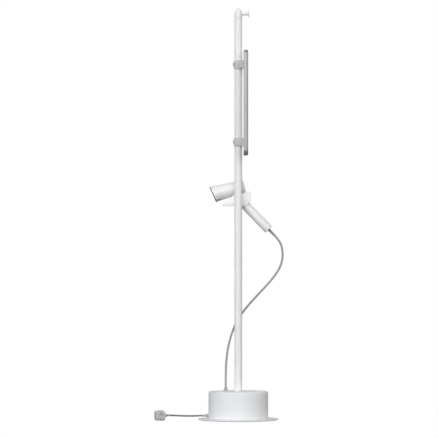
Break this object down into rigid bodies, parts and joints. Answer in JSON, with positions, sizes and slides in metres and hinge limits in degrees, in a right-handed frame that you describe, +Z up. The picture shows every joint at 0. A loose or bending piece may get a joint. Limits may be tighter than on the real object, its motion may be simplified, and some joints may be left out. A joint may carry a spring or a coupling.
{
  "type": "free-standing hair dryer post",
  "caption": "Slim round floor post on a drum base, with a swivelling mirror, a small peg, a cradle that holds a hand hair dryer, its cord and a mains plug.",
  "frame": {"origin": "centre of the foot's underside, on the floor and on the post's axis", "axes": "+Z up along the post, +X towards the user in front of the mirror, +Y towards the side where the dryer hangs"},
  "size_m": [0.4663, 0.288, 1.483],
  "materials": {
    "white_powder_coat": "fine satin powder coat",
    "white_plastic": "satin moulded plastic",
    "grey_clip_plastic": "fine matt moulded plastic",
    "mirror_metal": "satin anodised, light vertical grain",
    "mirror_glass": "silvered float glass",
    "core_board": "raw fibre board",
    "cord_grey": "satin grey PVC",
    "gland_grey": "fine matt moulded plastic",
    "plug_grey": "moulded grey PVC",
    "steel": "zinc plated",
    "ballast_iron": "raw casting, black primer",
    "foot_rubber": "soft anti-slip rubber",
    "outlet_rubber": "matt dark silicone",
    "black_plastic": "heat resistant black plastic",
    "mica": "mica board",
    "heater_wire": "oxidised resistance wire",
    "liner_plastic": "slick bearing plastic",
    "board_green": "circuit board laminate",
    "filter_mesh": "woven steel mesh"
  },
  "bodies": {
    "stand": {"foot_ring": "foot_rubber", "foot_plate": "white_powder_coat", "drum_cover": "white_powder_coat", "ballast_disc": "ballast_iron", "cover_pillars": "steel", "cover_screws": "steel", "post_socket": "steel", "socket_screws": "steel", "terminal_block": "black_plastic", "terminal_screws": "steel", "post_tube": "white_powder_coat", "post_cap": "white_powder_coat", "peg_rod": "white_powder_coat", "peg_disc": "white_powder_coat", "peg_stud": "steel", "dryer_gland": "gland_grey", "mains_gland": "gland_grey", "gland_nuts": "gland_grey", "cradle_body": "white_plastic", "cradle_screws": "steel", "cradle_inserts": "steel", "dryer_cord": "cord_grey", "mains_cord": "cord_grey", "plug_body": "plug_grey", "plug_pins": "steel", "plug_earth_clips": "steel", "plug_sleeve": "plug_grey"},
    "mirror_carriage": {"upper_liner": "liner_plastic", "lower_liner": "liner_plastic"},
    "mirror_unit": {"upper_clip": "grey_clip_plastic", "lower_clip": "grey_clip_plastic", "clip_screws": "steel", "mirror_tray": "mirror_metal", "mirror_core": "core_board", "mirror_frame": "mirror_metal", "mirror_glass": "mirror_glass"},
    "dryer": {"barrel_shell": "white_plastic", "nozzle_rim": "white_plastic", "outlet_ring": "outlet_rubber", "outlet_grille": "black_plastic", "heater_frame": "mica", "heater_coils": "heater_wire", "motor_mount": "black_plastic", "motor": "steel", "rear_cap": "white_plastic", "intake_filter": "filter_mesh", "grip_shell": "white_plastic", "grip_end_cap": "white_plastic", "grip_strain_relief": "cord_grey", "control_board": "board_green"},
    "dryer_fan": {"impeller": "black_plastic"},
    "speed_switch": {"speed_slider": "grey_clip_plastic"},
    "cool_switch": {"cool_button": "grey_clip_plastic"}
  },
  "joints": [
    {"name": "mirror_slide", "type": "slide", "parent": "stand", "child": "mirror_carriage", "axis": [0, 0, 1], "range_m": [-0.02, 0.11]},
    {"name": "mirror_swivel", "type": "hinge", "parent": "mirror_carriage", "child": "mirror_unit", "pos_m": [0, 0, 1.14], "axis": [0, 0, 1], "continuous": true},
    {"name": "dryer_lift", "type": "slide", "parent": "stand", "child": "dryer", "axis": [0, 0, 1], "range_m": [0, 0.06], "deforming": ["dryer_cord"]},
    {"name": "fan_spin", "type": "hinge", "parent": "dryer", "child": "dryer_fan", "pos_m": [0.00183, 0.045, 0.8376], "axis": [0.9655, 0, 0.2605], "continuous": true},
    {"name": "speed_slide", "type": "slide", "parent": "dryer", "child": "speed_switch", "axis": [0.6955, 0, -0.7185], "range_m": [0, 0.008]},
    {"name": "cool_press", "type": "slide", "parent": "dryer", "child": "cool_switch", "axis": [0, -1, 0], "range_m": [0, 0.0015], "stiffness_N_per_m": 300, "springref_m": -0.0005}
  ]
}
